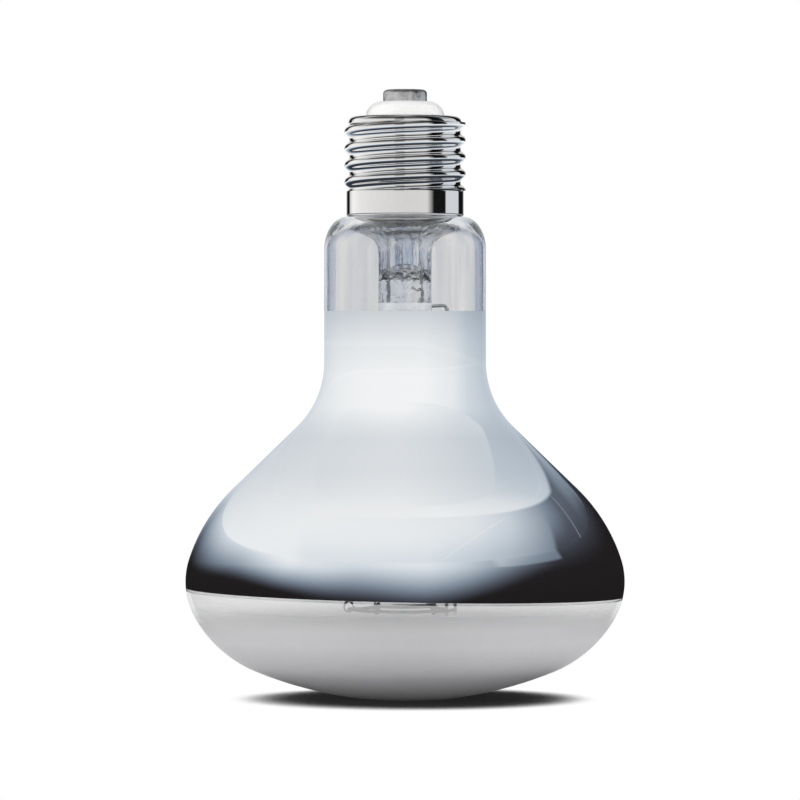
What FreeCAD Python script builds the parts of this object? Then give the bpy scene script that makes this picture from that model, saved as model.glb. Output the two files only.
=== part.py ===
import FreeCAD, Part
import math
import os

# Reflector bulb with a screw cap, standing cap up on its domed face. Millimetres.
# The origin is the lowest point of the face, +Z runs up the lamp axis and +X is right in the photograph.

V = FreeCAD.Vector
ORIGIN = V(0, 0, 0)
UP = V(0, 0, 1)

# Blown glass envelope: the outline turns through tangent arcs, angles are measured from vertical
bell_radius = 47.5
glass_wall = 0.9
face_edge_radius = 15.75
face_edge_turn = 28.75
face_side_radius = 26.6
face_side_turn = 67.6
back_edge_radius = 15.8
back_edge_turn = 18.0
back_side_radius = 37.0
cone_turn = 46.0
neck_fillet_radius = 19.5
neck_radius = 17.5
neck_top = 97.5
shoulder_height = 7.1
collar_radius = 11.9
collar_length = 4.2

# Mirror film on the inside of the glass, far thicker than the real film so that it stays a solid
film = 0.12
film_top_drop = 13.3
film_bottom = 23.4
film_bottom_tilt = 1.2

# Screw cap of rolled sheet with a standard 27 mm round thread
sheet = 0.3
skirt_radius = 12.7
skirt_height = 5.5
skirt_gap = 0.1
crest_radius = 13.15
root_radius = 12.05
pitch = 3.629
thread_flat = 0.1
thread_dip = 0.03
thread_height = 14.8
first_crest = 0.1
spare_turns = 3
cap_corner = 1.3
cap_hole_radius = 8.5
web_overlap = 0.2
cement_bottom_gap = 0.2
cement_top_gap = 0.4

# Glass insulator and centre contact of the cap
insulator_height = 3.3
insulator_flange = 10.8
insulator_depth = 3.0
insulator_foot = 9.4
contact_radius = 4.75
contact_height = 2.5
contact_round = 0.9
contact_bore = 1.1
contact_tube_wall = 0.5
contact_tube_length = 1.2
countersink = 1.1
seat_lip = 0.2

# Stem: flare, press and the exhaust tube that is sealed off inside the cap
flare_wall = 1.0
stem_radius = 5.75
flare_start_drop = 1.0
flare_turn = 65.0
flare_lower_radius = 6.0
press_bottom_drop = 11.5
press_height = 5.0
press_slope = 3.4
press_thickness = 4.2
bore_floor_rise = 7.2
exhaust_radius = 2.0
exhaust_wall = 0.6
exhaust_length = 19.5
exhaust_hole = 0.9
exhaust_hole_drop = 2.6

# Wires through the press
lead_offset = 3.6
lead_radius = 0.3
seal_length = 4.0
seal_rise = 1.5
side_lead_offset = 2.9
side_lead_drop = 0.1
rim_clearance = 0.1
solder_radius = 0.9
centre_lead_rise = 1.8
centre_lead_slope = 4.0

# Mount frame below the press
rod_radius = 0.35
rod_offset = 9.0
rod_exit_rise = 0.35
rod_end_drop = 1.4
wire_bend = 0.8
shield_radius = 5.8
shield_thickness = 1.7
shield_slot_clearance = 0.05

# Quartz arc tube, hung below the heat shield
quartz_radius = 6.0
quartz_wall = 1.1
shield_to_pinch = 4.3
arc_tube_length = 32.0
pinch_length = 8.0
pinch_width = 11.0
pinch_thickness = 3.0
pinch_overlap = 3.0
foil_thickness = 0.1
foil_width = 2.2
foil_length = 5.0
foil_inset = 1.5
shank_radius = 0.4
head_radius = 1.0
head_length = 3.0
head_tip = 5.0
probe_radius = 0.2
probe_offset = 2.9
probe_foil_width = 1.4
probe_tip = 4.0
foil_lead_radius = 0.25
foil_lead_length = 2.05
mercury_radius = 0.7

# Straps that hold the arc tube to the frame rod
strap_sheet = 0.3
strap_height = 3.0
strap_inset = 2.5

# Starting resistor behind the upper pinch
resistor_radius = 1.3
resistor_length = 7.0
resistor_x = 5.0
resistor_y = 4.0
resistor_rise = 0.5
resistor_lead_radius = 0.2
resistor_lead_reach = 1.3

# Ballast filament strung on hooks round a glass bead
bead_radius = 2.0
bead_height = 4.0
bead_drop = 3.6
bead_round = 0.8
bead_hole_end = 0.8
bead_support_radius = 0.3
hook_count = 5
hook_step = 60.0
hook_radius = 0.2
hook_reach = 12.2
hook_shoulder = 4.0
eye_radius = 1.0
eye_clearance = 0.05
strand_radius = 0.35
strand_drop = 6.2
strand_sag = 0.2
return_angle = -20.0
return_reach = 11.5
return_drop = 0.9

# Heights that follow from the values above
collar_base = neck_top + shoulder_height
collar_top = collar_base + collar_length
skirt_bottom = collar_base + skirt_gap
skirt_top = skirt_bottom + skirt_height
skirt_bore = skirt_radius - sheet
thread_top = skirt_top + thread_height
cap_top = thread_top + cap_corner
contact_base = cap_top + insulator_height
contact_top = contact_base + contact_height
film_top = neck_top - film_top_drop
flare_start = neck_top - flare_start_drop
press_bottom = neck_top - press_bottom_drop
bore_floor = press_bottom + bore_floor_rise
seal_bottom = press_bottom + seal_rise
side_lead_top = collar_base - side_lead_drop
exhaust_top = bore_floor + exhaust_length
centre_lead_bend = exhaust_top + centre_lead_rise
centre_lead_join = centre_lead_bend + centre_lead_slope
shield_top = press_bottom
shield_bottom = shield_top - shield_thickness
upper_pinch_end = shield_bottom - shield_to_pinch
arc_tube_top = upper_pinch_end - pinch_length
arc_tube_bottom = arc_tube_top - arc_tube_length
lower_pinch_end = arc_tube_bottom - pinch_length
upper_foil_bottom = arc_tube_top + foil_inset
lower_foil_bottom = arc_tube_bottom - foil_inset - foil_length
upper_lead_level = upper_pinch_end + foil_lead_length + rod_radius
return_level = lower_pinch_end - foil_lead_length - rod_radius
resistor_bottom = arc_tube_top + resistor_rise
bead_middle = return_level - bead_drop
strand_height = bead_middle - strand_drop
rod_end = strand_height - rod_end_drop
return_end = strand_height - return_drop


def polar(radius, degrees, z=0.0):
    """A point at a radius and an angle round the lamp axis."""
    angle = math.radians(degrees)
    return V(radius * math.cos(angle), radius * math.sin(angle), z)


def line(start, end):
    return Part.LineSegment(start, end).toShape()


def arc_about(centre, radius, start_degrees, end_degrees):
    """An arc in the XZ plane, given by its centre and two angles from +X towards +Z."""
    def point(degrees):
        angle = math.radians(degrees)
        return V(centre[0] + radius * math.cos(angle), 0, centre[1] + radius * math.sin(angle))
    middle = point((start_degrees + end_degrees) / 2)
    return Part.Arc(point(start_degrees), middle, point(end_degrees)).toShape()


def ellipse_quarter(centre, across, up):
    """The upper right quarter of an upright ellipse in the XZ plane, with half-widths across and up."""
    if across > up:
        ellipse = Part.Ellipse(V(across, 0, 0), V(0, 0, up), ORIGIN)
        start = 0.0
    else:
        ellipse = Part.Ellipse(V(0, 0, up), V(-across, 0, 0), ORIGIN)
        start = -math.pi / 2
    quarter = Part.ArcOfEllipse(ellipse, start, start + math.pi / 2).toShape()
    quarter.translate(V(centre[0], 0, centre[1]))
    return quarter


def first(edge):
    return edge.Vertexes[0].Point


def last(edge):
    return edge.Vertexes[-1].Point


def turned(edges):
    """The solid of revolution of a closed outline in the XZ plane."""
    return Part.Face(Part.Wire(Part.__sortEdges__(edges))).revolve(ORIGIN, UP, 360)


def outline_points(points):
    """Straight edges round a closed list of (x, z) pairs."""
    corners = [V(x, 0, z) for x, z in points]
    return [line(a, b) for a, b in zip(corners, corners[1:] + corners[:1])]


def rod(start, end, radius):
    """A straight round rod between two points."""
    return Part.makeCylinder(radius, (end - start).Length, start, end - start)


def bent_wire(points, radius, bend):
    """A round wire along straight runs that are joined by bends of one radius."""
    edges = []
    start = points[0]
    for before, corner, after in zip(points, points[1:], points[2:]):
        incoming = (corner - before).normalize()
        outgoing = (after - corner).normalize()
        turn = incoming.getAngle(outgoing)
        reach = bend * math.tan(turn / 2)
        leave = corner - incoming * reach
        join = corner + outgoing * reach
        inward = (outgoing - incoming).normalize()
        middle = corner + inward * (bend / math.cos(turn / 2) - bend)
        edges.append(line(start, leave))
        edges.append(Part.Arc(leave, middle, join).toShape())
        start = join
    edges.append(line(start, points[-1]))
    section = Part.Wire([Part.Circle(points[0], points[1] - points[0], radius).toShape()])
    return Part.Wire(edges).makePipeShell([section], True, False)


def envelope_profile(inset):
    """The glass outline from the lowest point up to the collar, moved inwards by inset."""
    a, b = math.radians(face_edge_turn), math.radians(face_side_turn)
    crown_radius = bell_radius - face_edge_radius * (1 - math.cos(a))
    crown_radius = (crown_radius - face_side_radius * (math.cos(a) - math.cos(b))) / math.cos(b)
    equator = face_edge_radius * math.sin(a) + face_side_radius * (math.sin(b) - math.sin(a))
    equator = equator + crown_radius * (1 - math.sin(b))
    edge_centre = (bell_radius - face_edge_radius, equator)
    side_step = face_edge_radius - face_side_radius
    side_centre = (edge_centre[0] + side_step * math.cos(a), equator - side_step * math.sin(a))
    c, k = math.radians(back_edge_turn), math.radians(cone_turn)
    back_centre = (bell_radius - back_edge_radius, equator)
    back_step = back_edge_radius - back_side_radius
    cone_centre = (back_centre[0] + back_step * math.cos(c), equator + back_step * math.sin(c))
    cone_start = (
        cone_centre[0] + back_side_radius * math.cos(k),
        cone_centre[1] + back_side_radius * math.sin(k),
    )
    fillet_x = neck_radius + neck_fillet_radius
    cone_length = (cone_start[0] - fillet_x + neck_fillet_radius * math.cos(k)) / math.sin(k)
    cone_end = (cone_start[0] - cone_length * math.sin(k), cone_start[1] + cone_length * math.cos(k))
    fillet_centre = (fillet_x, cone_end[1] + neck_fillet_radius * math.sin(k))
    edges = [
        arc_about((0, crown_radius), crown_radius - inset, -90, -face_side_turn),
        arc_about(side_centre, face_side_radius - inset, -face_side_turn, -face_edge_turn),
        arc_about(edge_centre, face_edge_radius - inset, -face_edge_turn, 0),
        arc_about(back_centre, back_edge_radius - inset, 0, back_edge_turn),
        arc_about(cone_centre, back_side_radius - inset, back_edge_turn, cone_turn),
    ]
    fillet = arc_about(fillet_centre, neck_fillet_radius + inset, 180 + cone_turn, 180)
    edges.append(line(last(edges[-1]), first(fillet)))
    edges.append(fillet)
    edges.append(line(last(fillet), V(neck_radius - inset, 0, neck_top)))
    return edges


def bulb_envelope():
    outer = envelope_profile(0)
    inner = envelope_profile(glass_wall)
    bore = collar_radius - glass_wall
    outer_shoulder = ellipse_quarter((skirt_radius, neck_top), neck_radius - skirt_radius, shoulder_height)
    inner_height = shoulder_height - glass_wall
    inner_shoulder = ellipse_quarter((bore, neck_top), neck_radius - collar_radius, inner_height)
    collar = [
        line(V(skirt_radius, 0, collar_base), V(collar_radius, 0, collar_base)),
        line(V(collar_radius, 0, collar_base), V(collar_radius, 0, collar_top)),
        line(V(collar_radius, 0, collar_top), V(bore, 0, collar_top)),
        line(V(bore, 0, collar_top), V(bore, 0, collar_base - glass_wall)),
    ]
    axis = [line(V(0, 0, 0), V(0, 0, glass_wall))]
    return turned(outer + inner + [outer_shoulder, inner_shoulder] + collar + axis)


def reflector_coating():
    """The film follows the inside of the glass between a level top and a slightly tilted lower edge."""
    outer = envelope_profile(glass_wall)
    inner = envelope_profile(glass_wall + film)
    ends = [
        line(V(0, 0, glass_wall), V(0, 0, glass_wall + film)),
        line(last(outer[-1]), last(inner[-1])),
    ]
    layer = turned(outer + inner + ends)
    reach = 2 * bell_radius
    above = rod(V(0, 0, film_top), V(0, 0, collar_top), bell_radius)
    below = Part.makeBox(2 * reach, 2 * reach, reach, V(-reach, -reach, -reach))
    below.rotate(ORIGIN, V(0, 1, 0), film_bottom_tilt)
    below.translate(V(0, 0, film_bottom))
    return layer.cut(above).cut(below)


def thread_section(shift, base_radius):
    """One turn of the round thread as three tangent arcs, moved inwards by shift, on a straight base."""
    half_width = (pitch - thread_flat) / 2
    low = root_radius - thread_dip
    depth = crest_radius - low
    flank = 2 * math.degrees(math.atan(depth / half_width))
    round_radius = half_width / (2 * math.sin(math.radians(flank)))
    lower = arc_about((low + round_radius, -half_width), round_radius + shift, 180, 180 - flank)
    crest = arc_about((crest_radius - round_radius, 0), round_radius - shift, -flank, flank)
    upper = arc_about((low + round_radius, half_width), round_radius + shift, 180 + flank, 180)
    bottom = V(base_radius, 0, -half_width)
    top = V(base_radius, 0, half_width)
    base = [line(last(upper), top), line(top, bottom), line(bottom, first(lower))]
    return Part.Wire([lower, crest, upper] + base)


def threaded_core(shift, overrun):
    """A solid round-threaded core, as large as the thread moved inwards by shift."""
    radius = root_radius - shift
    lead_in = skirt_top + first_crest - pitch
    path = Part.Wire(Part.makeLongHelix(pitch, thread_height + spare_turns * pitch, root_radius, 0).Edges)
    ridge = path.makePipeShell([thread_section(shift, radius - sheet / 2)], True, True)
    ridge.translate(V(0, 0, lead_in))
    core = rod(V(0, 0, skirt_top - pitch), V(0, 0, thread_top + pitch), radius)
    band = rod(V(0, 0, skirt_top - overrun), V(0, 0, thread_top + overrun), bell_radius)
    return core.fuse(ridge).common(band)


def cap_shell():
    """Rolled sheet shell: a plain skirt, a right-hand round thread of even wall and a turned-in top."""
    bore = root_radius - sheet
    wall = threaded_core(0, 0).cut(threaded_core(sheet, sheet))
    skirt = turned(outline_points([
        (skirt_bore, skirt_bottom), (skirt_radius, skirt_bottom), (skirt_radius, skirt_top + web_overlap),
        (bore - web_overlap, skirt_top + web_overlap), (bore - web_overlap, skirt_top - sheet),
        (skirt_bore, skirt_top - sheet),
    ]))
    top_outer = root_radius + web_overlap
    outer_corner = arc_about((top_outer - cap_corner, thread_top), cap_corner, 0, 90)
    inner_corner = arc_about((top_outer - cap_corner, thread_top), cap_corner - 2 * web_overlap - sheet, 0, 90)
    hole_rim = V(cap_hole_radius, 0, cap_top)
    hole_edge = V(cap_hole_radius, 0, cap_top - sheet)
    rim_bottom = thread_top - web_overlap
    under_corner = V(last(inner_corner).x, 0, cap_top - sheet)
    top = turned([
        line(V(top_outer, 0, rim_bottom), first(outer_corner)),
        outer_corner,
        line(last(outer_corner), hole_rim),
        line(hole_rim, hole_edge),
        line(hole_edge, under_corner),
        line(under_corner, last(inner_corner)),
        inner_corner,
        line(first(inner_corner), V(first(inner_corner).x, 0, rim_bottom)),
        line(V(first(inner_corner).x, 0, rim_bottom), V(top_outer, 0, rim_bottom)),
    ])
    return skirt.fuse([wall, top])


def cap_cement():
    """The cement ring between the glass collar and the skirt."""
    bottom = skirt_bottom + cement_bottom_gap
    height = collar_top - cement_top_gap - bottom
    ring = Part.makeCylinder(skirt_bore, height, V(0, 0, bottom))
    return ring.cut(Part.makeCylinder(collar_radius, height, V(0, 0, bottom)))


def cap_insulator():
    """Glass cast through the hole of the shell: a dome outside and a flange inside."""
    bore = contact_bore + contact_tube_wall
    lip = contact_radius + seat_lip
    dome = ellipse_quarter((lip, cap_top), cap_hole_radius - lip, insulator_height)
    under = cap_top - sheet
    corners = [
        V(lip, 0, contact_base), V(bore, 0, contact_base), V(bore, 0, under - insulator_depth),
        V(insulator_foot, 0, under - insulator_depth), V(insulator_flange, 0, under),
        V(cap_hole_radius, 0, under), V(cap_hole_radius, 0, cap_top),
    ]
    return turned([dome] + [line(a, b) for a, b in zip(corners, corners[1:])])


def centre_contact():
    """Pressed eyelet with a rounded rim, a countersunk hole and a short tube into the insulator."""
    tube_radius = contact_bore + contact_tube_wall
    tube_end = contact_base - contact_tube_length
    rim = arc_about((contact_radius - contact_round, contact_top - contact_round), contact_round, 0, 90)
    corners = [
        last(rim), V(contact_bore + countersink, 0, contact_top), V(contact_bore, 0, contact_top - countersink),
        V(contact_bore, 0, tube_end), V(tube_radius, 0, tube_end), V(tube_radius, 0, contact_base),
        V(contact_radius, 0, contact_base), first(rim),
    ]
    return turned([rim] + [line(a, b) for a, b in zip(corners, corners[1:])])


def contact_solder():
    """Solder that fills the countersink flush with the contact."""
    return turned(outline_points([
        (0, contact_top - countersink), (contact_bore, contact_top - countersink),
        (contact_bore + countersink, contact_top), (0, contact_top),
    ]))


def stem_tools():
    """Holes through the press for the leads, the seal wires and the exhaust."""
    tools = []
    for side in (-1, 1):
        x = side * lead_offset
        tools.append(rod(V(x, 0, seal_bottom), V(x, 0, bore_floor), lead_radius))
        tools.append(rod(V(x, 0, press_bottom), V(x, 0, seal_bottom), rod_radius))
    turn = V(0, 0, bore_floor - exhaust_hole_drop)
    tools.append(rod(turn, V(0, 0, bore_floor), exhaust_hole))
    tools.append(rod(turn, turn + V(0, press_thickness, 0), exhaust_hole))
    return tools


def stem_glass():
    """Flared tube that is pressed flat at its lower end and whose rim lines the glass collar."""
    rim_radius = collar_radius - glass_wall
    turn = math.radians(flare_turn)
    upper_radius = (rim_radius - stem_radius) / (1 - math.cos(turn)) - flare_lower_radius
    flare_end = flare_start + (flare_lower_radius + upper_radius) * math.sin(turn)

    def generatrix(inset):
        lower_centre = (stem_radius + flare_lower_radius, flare_start)
        lower = arc_about(lower_centre, flare_lower_radius + inset, 180, 180 - flare_turn)
        upper = arc_about((rim_radius - upper_radius, flare_end), upper_radius - inset, -flare_turn, 0)
        return [lower, upper, line(last(upper), V(rim_radius - inset, 0, collar_top))]

    outer = generatrix(0)
    inner = generatrix(flare_wall)
    bore = stem_radius - flare_wall
    body = turned(outer + inner + [
        line(last(outer[-1]), last(inner[-1])),
        line(V(0, 0, press_bottom), V(stem_radius, 0, press_bottom)),
        line(V(stem_radius, 0, press_bottom), first(outer[0])),
        line(first(inner[0]), V(bore, 0, bore_floor)),
        line(V(bore, 0, bore_floor), V(0, 0, bore_floor)),
        line(V(0, 0, bore_floor), V(0, 0, press_bottom)),
    ])
    press_top = press_bottom + press_height
    slope_top = press_top + press_slope
    half = press_thickness / 2
    for side in (-1, 1):
        inside, outside = side * half, side * stem_radius
        corners = [
            V(-stem_radius, inside, press_bottom), V(-stem_radius, inside, press_top),
            V(-stem_radius, outside, slope_top), V(-stem_radius, outside, press_bottom),
        ]
        flank = Part.Face(Part.Wire([line(a, b) for a, b in zip(corners, corners[1:] + corners[:1])]))
        body = body.cut(flank.extrude(V(2 * stem_radius, 0, 0)))
    return body.cut(stem_tools())


def exhaust_tube():
    """Thin tube on the press floor, drawn off to a closed round tip inside the cap."""
    bore = exhaust_radius - exhaust_wall
    shoulder = exhaust_top - exhaust_radius
    outer = arc_about((0, shoulder), exhaust_radius, 0, 90)
    inner = arc_about((0, shoulder), bore, 0, 90)
    return turned([
        line(V(bore, 0, bore_floor), V(exhaust_radius, 0, bore_floor)),
        line(V(exhaust_radius, 0, bore_floor), first(outer)),
        outer,
        line(last(outer), last(inner)),
        inner,
        line(first(inner), V(bore, 0, bore_floor)),
    ])


def outer_lead_centre():
    """From the press up past the exhaust tip and along the axis to the centre contact."""
    x = -lead_offset
    return bent_wire([
        V(x, 0, seal_bottom + seal_length), V(x, 0, centre_lead_bend), V(0, 0, centre_lead_join),
        V(0, 0, contact_top - countersink),
    ], lead_radius, wire_bend)


def outer_lead_side():
    """From the press up the flare, over the rim of the collar and out to the skirt."""
    level = collar_top + rim_clearance + lead_radius
    return bent_wire([
        V(lead_offset, 0, seal_bottom + seal_length), V(lead_offset, 0, bore_floor + lead_radius),
        V(side_lead_offset, 0, side_lead_top), V(side_lead_offset, 0, level),
        V(skirt_bore - lead_radius, 0, level),
    ], lead_radius, wire_bend)


def sealing_wire(side):
    x = side * lead_offset
    return rod(V(x, 0, seal_bottom), V(x, 0, seal_bottom + seal_length), lead_radius)


def side_solder():
    """Bead that joins the side lead to the inside of the skirt, above the cement."""
    level = collar_top + rim_clearance + lead_radius
    bead = Part.makeSphere(solder_radius, V(skirt_bore - lead_radius, 0, level))
    bead = bead.common(Part.makeCylinder(skirt_bore, skirt_height, V(0, 0, collar_top - cement_top_gap)))
    bead = bead.cut(Part.makeCylinder(collar_radius, collar_length, V(0, 0, collar_base)))
    bead = bead.common(Part.makeCylinder(skirt_bore, skirt_height - sheet, V(0, 0, skirt_bottom)))
    return bead.cut(outer_lead_side())


def heat_shield():
    """Ceramic disc under the press, with a hole for one lead and a slot for the frame rod."""
    disc = Part.makeCylinder(shield_radius, shield_thickness, V(0, 0, shield_bottom))
    disc = disc.cut(rod(V(-lead_offset, 0, shield_bottom), V(-lead_offset, 0, shield_top), rod_radius))
    half = rod_radius + shield_slot_clearance
    slot = Part.makeBox(shield_radius, 2 * half, shield_thickness, V(lead_offset, -half, shield_bottom))
    end = Part.makeCylinder(half, shield_thickness, V(lead_offset, 0, shield_bottom))
    return disc.cut([slot, end])


def frame_rod():
    """Right-hand lead that leaves through the slot and runs down beside the arc tube."""
    exit_level = (shield_top + shield_bottom) / 2
    return bent_wire([
        V(lead_offset, 0, seal_bottom), V(lead_offset, 0, exit_level),
        V(rod_offset, 0, exit_level + rod_exit_rise), V(rod_offset, 0, rod_end),
    ], rod_radius, wire_bend)


def upper_supply_lead():
    """Left-hand lead that turns in over the wire of the upper foil."""
    return bent_wire([
        V(-lead_offset, 0, seal_bottom), V(-lead_offset, 0, upper_lead_level),
        V(rod_radius, 0, upper_lead_level),
    ], rod_radius, wire_bend)


def pinch_block(bottom, height):
    corner = V(-pinch_width / 2, -pinch_thickness / 2, bottom)
    return Part.makeBox(pinch_width, pinch_thickness, height, corner)


def foil(x, width, bottom):
    corner = V(x - width / 2, -foil_thickness / 2, bottom)
    return Part.makeBox(width, foil_thickness, foil_length, corner)


def upper_foil():
    return foil(0, foil_width, upper_foil_bottom)


def lower_foil():
    return foil(0, foil_width, lower_foil_bottom)


def starting_foil():
    return foil(probe_offset, probe_foil_width, upper_foil_bottom)


def electrode(foil_end, direction):
    """Tungsten shank from the foil with its wound head inside the tube."""
    start = V(0, 0, foil_end)
    wall_end = arc_tube_top if direction < 0 else arc_tube_bottom
    tip = V(0, 0, wall_end + direction * (quartz_wall + head_tip))
    head_start = tip - V(0, 0, direction * (head_length + shank_radius))
    head = rod(head_start, head_start + V(0, 0, direction * head_length), head_radius)
    return rod(start, tip, shank_radius).fuse(head)


def upper_electrode():
    return electrode(upper_foil_bottom, -1)


def lower_electrode():
    return electrode(lower_foil_bottom + foil_length, 1)


def starting_electrode():
    tip = arc_tube_top - quartz_wall - probe_tip
    return rod(V(probe_offset, 0, tip), V(probe_offset, 0, upper_foil_bottom), probe_radius)


def upper_foil_lead():
    top = upper_foil_bottom + foil_length
    return rod(V(0, 0, top), V(0, 0, upper_pinch_end + foil_lead_length), foil_lead_radius)


def lower_foil_lead():
    return rod(V(0, 0, lower_pinch_end - foil_lead_length), V(0, 0, lower_foil_bottom), foil_lead_radius)


def starting_foil_lead():
    bottom = upper_foil_bottom + foil_length
    top = upper_pinch_end + resistor_lead_reach
    return rod(V(probe_offset, 0, bottom), V(probe_offset, 0, top), foil_lead_radius)


def arc_tube():
    """Quartz tube with round ends and flat pinches that close round the foils."""
    bore = quartz_radius - quartz_wall
    ends = [V(0, 0, arc_tube_bottom + quartz_radius), V(0, 0, arc_tube_top - quartz_radius)]
    body = rod(ends[0], ends[1], quartz_radius)
    hollow = rod(ends[0], ends[1], bore)
    body = body.fuse([Part.makeSphere(quartz_radius, end) for end in ends])
    lower = pinch_block(lower_pinch_end, pinch_length + pinch_overlap)
    upper = pinch_block(arc_tube_top - pinch_overlap, pinch_length + pinch_overlap)
    body = body.fuse([lower, upper])
    hollow = hollow.fuse([Part.makeSphere(bore, end) for end in ends])
    buried = [
        upper_foil(), lower_foil(), starting_foil(), upper_electrode(), lower_electrode(), starting_electrode(),
        upper_foil_lead(), lower_foil_lead(), starting_foil_lead(),
    ]
    return body.cut([hollow] + buried)


def mercury_drop():
    """The metal that lies as a drop in the lower end of the cold tube."""
    bore = quartz_radius - quartz_wall
    reach = shank_radius + mercury_radius
    drop = math.sqrt((bore - mercury_radius) ** 2 - reach ** 2)
    centre = V(0, reach, arc_tube_bottom + quartz_radius - drop)
    return Part.makeSphere(mercury_radius, centre)


def arc_tube_strap(bottom):
    """Bent strip round a pinch, with a tab that meets the frame rod."""
    band = Part.makeBox(
        pinch_width + 2 * strap_sheet, pinch_thickness + 2 * strap_sheet, strap_height,
        V(-pinch_width / 2 - strap_sheet, -pinch_thickness / 2 - strap_sheet, bottom))
    start = pinch_width / 2
    reach = rod_offset - rod_radius - start
    tab = Part.makeBox(reach, strap_sheet, strap_height, V(start, -strap_sheet / 2, bottom))
    return band.fuse(tab).cut(pinch_block(bottom, strap_height))


def starting_resistor():
    body = Part.makeCylinder(resistor_radius, resistor_length, V(resistor_x, resistor_y, resistor_bottom))
    return body.makeFillet(resistor_lead_radius, body.Edges)


def resistor_lead_upper():
    """From the resistor over to the wire of the starting foil."""
    level = upper_pinch_end + resistor_lead_reach - foil_lead_radius
    corner = V(resistor_x, resistor_y, level)
    target = V(probe_offset, 0, level)
    end = target + (corner - target).normalize() * foil_lead_radius
    return bent_wire([
        V(resistor_x, resistor_y, resistor_bottom + resistor_length), corner, end,
    ], resistor_lead_radius, wire_bend)


def resistor_lead_lower():
    """From the resistor down and across to the frame rod."""
    level = resistor_bottom - resistor_lead_reach
    corner = V(resistor_x, resistor_y, level)
    target = V(rod_offset, 0, level)
    end = target + (corner - target).normalize() * rod_radius
    return bent_wire([V(resistor_x, resistor_y, resistor_bottom), corner, end], resistor_lead_radius, wire_bend)


def hook_angle(number):
    return hook_step * number


def filament_hook(number):
    """Wire from the bead out and down to an eye in which the filament lies."""
    angle = hook_angle(number)
    eye_centre = strand_height + eye_radius - hook_radius - strand_radius - eye_clearance
    wire = bent_wire([
        polar(bead_hole_end, angle, bead_middle), polar(hook_shoulder, angle, bead_middle),
        polar(hook_reach, angle, eye_centre + eye_radius),
    ], hook_radius, wire_bend)
    eye = Part.makeTorus(eye_radius, hook_radius, polar(hook_reach, angle, eye_centre), polar(1, angle + 90))
    return wire.fuse(eye)


def bead_support():
    """Cross wire from the frame rod into the bead."""
    end = V(rod_offset - rod_radius, 0, bead_middle)
    return rod(V(bead_hole_end, 0, bead_middle), end, bead_support_radius)


def filament_bead():
    """Glass bead with a hole for the cross wire and for each hook."""
    bead = Part.makeCylinder(bead_radius, bead_height, V(0, 0, bead_middle - bead_height / 2))
    bead = bead.makeFillet(bead_round, [edge for edge in bead.Edges if edge.Closed])
    holes = [bead_support()]
    for number in range(1, hook_count + 1):
        angle = hook_angle(number)
        start = polar(bead_hole_end, angle, bead_middle)
        holes.append(rod(start, polar(hook_shoulder, angle, bead_middle), hook_radius))
    return bead.cut(holes)


def filament_return_lead():
    """From the wire of the lower foil out over the bead and down to the end of the filament."""
    return bent_wire([
        polar(-rod_radius, return_angle, return_level), polar(return_reach, return_angle, return_level),
        polar(return_reach, return_angle, return_end),
    ], rod_radius, wire_bend)


def ballast_filament():
    """Coiled filament as a plain strand that sags a little between its hooks."""
    stops = [polar(hook_reach, hook_angle(number), strand_height) for number in range(1, hook_count + 1)]
    gap = rod_radius + strand_radius
    frame_end = V(rod_offset, 0, strand_height)
    return_post = polar(return_reach, return_angle, strand_height)
    start = frame_end + (stops[0] - frame_end).normalize() * gap
    end = return_post + (stops[-1] - return_post).normalize() * gap
    points = [start] + stops + [end]
    pieces = [Part.makeSphere(strand_radius, point) for point in points]
    for a, b in zip(points, points[1:]):
        middle = (a + b) * 0.5 - V(0, 0, strand_sag)
        path = Part.Arc(a, middle, b)
        section = Part.Wire([Part.Circle(a, path.tangent(path.FirstParameter)[0], strand_radius).toShape()])
        pieces.append(Part.Wire([path.toShape()]).makePipeShell([section], True, False))
    return pieces[0].fuse(pieces[1:])


def nodes():
    """Every separate piece by its node name."""
    parts = {
        "cap_shell": cap_shell(),
        "cap_insulator": cap_insulator(),
        "centre_contact": centre_contact(),
        "contact_solder": contact_solder(),
        "cap_cement": cap_cement(),
        "side_solder": side_solder(),
        "bulb_envelope": bulb_envelope(),
        "reflector_coating": reflector_coating(),
        "stem_glass": stem_glass(),
        "exhaust_tube": exhaust_tube(),
        "outer_lead_centre": outer_lead_centre(),
        "outer_lead_side": outer_lead_side(),
        "sealing_wire_left": sealing_wire(-1),
        "sealing_wire_right": sealing_wire(1),
        "heat_shield": heat_shield(),
        "frame_rod": frame_rod(),
        "upper_supply_lead": upper_supply_lead(),
        "arc_tube": arc_tube(),
        "upper_electrode": upper_electrode(),
        "lower_electrode": lower_electrode(),
        "starting_electrode": starting_electrode(),
        "upper_foil": upper_foil(),
        "lower_foil": lower_foil(),
        "starting_foil": starting_foil(),
        "upper_foil_lead": upper_foil_lead(),
        "lower_foil_lead": lower_foil_lead(),
        "starting_foil_lead": starting_foil_lead(),
        "mercury_drop": mercury_drop(),
        "upper_strap": arc_tube_strap(upper_pinch_end - strap_inset - strap_height),
        "lower_strap": arc_tube_strap(lower_pinch_end + strap_inset),
        "starting_resistor": starting_resistor(),
        "resistor_lead_upper": resistor_lead_upper(),
        "resistor_lead_lower": resistor_lead_lower(),
        "filament_bead": filament_bead(),
        "bead_support": bead_support(),
        "filament_return_lead": filament_return_lead(),
        "ballast_filament": ballast_filament(),
    }
    for number in range(1, hook_count + 1):
        parts["filament_hook_%d" % number] = filament_hook(number)
    return parts


def main():
    os.makedirs("parts", exist_ok=True)
    for name, shape in nodes().items():
        shape.exportStep("parts/%s.step" % name)


main()
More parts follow.
